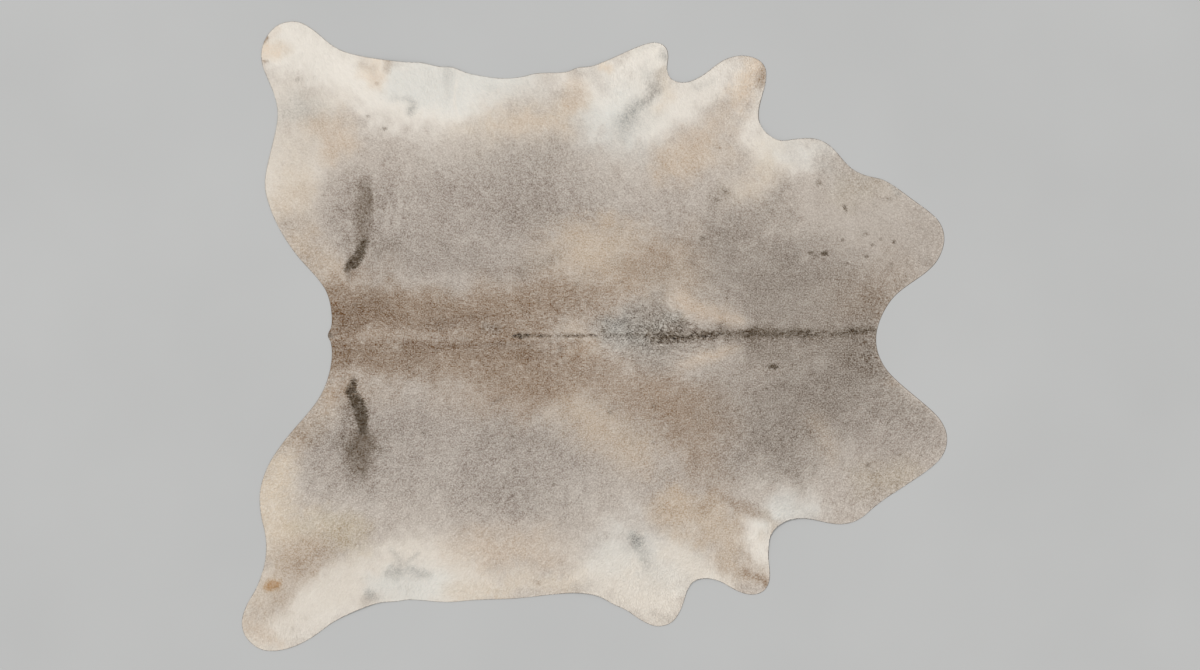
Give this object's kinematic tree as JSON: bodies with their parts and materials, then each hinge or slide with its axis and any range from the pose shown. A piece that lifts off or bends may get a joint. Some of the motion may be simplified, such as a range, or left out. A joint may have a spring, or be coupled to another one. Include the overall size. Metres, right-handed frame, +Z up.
{
  "type": "cowhide rug",
  "caption": "Whole cowhide rug with its hair on, laid flat, with the natural outline of legs, belly, neck and rump.",
  "frame": {"origin": "middle of the hide's box, on the floor under its flat underside", "axes": "+X along the backbone towards the neck, +Y towards the animal's left side, +Z up, hair side up"},
  "size_m": [2.293, 2.047, 0.01],
  "materials": {
    "hide": "short lying hair, soft matt with a faint sheen, grey-taupe roan with cream legs and belly"
  },
  "bodies": {
    "root": {"hide": "hide"}
  },
  "joints": []
}
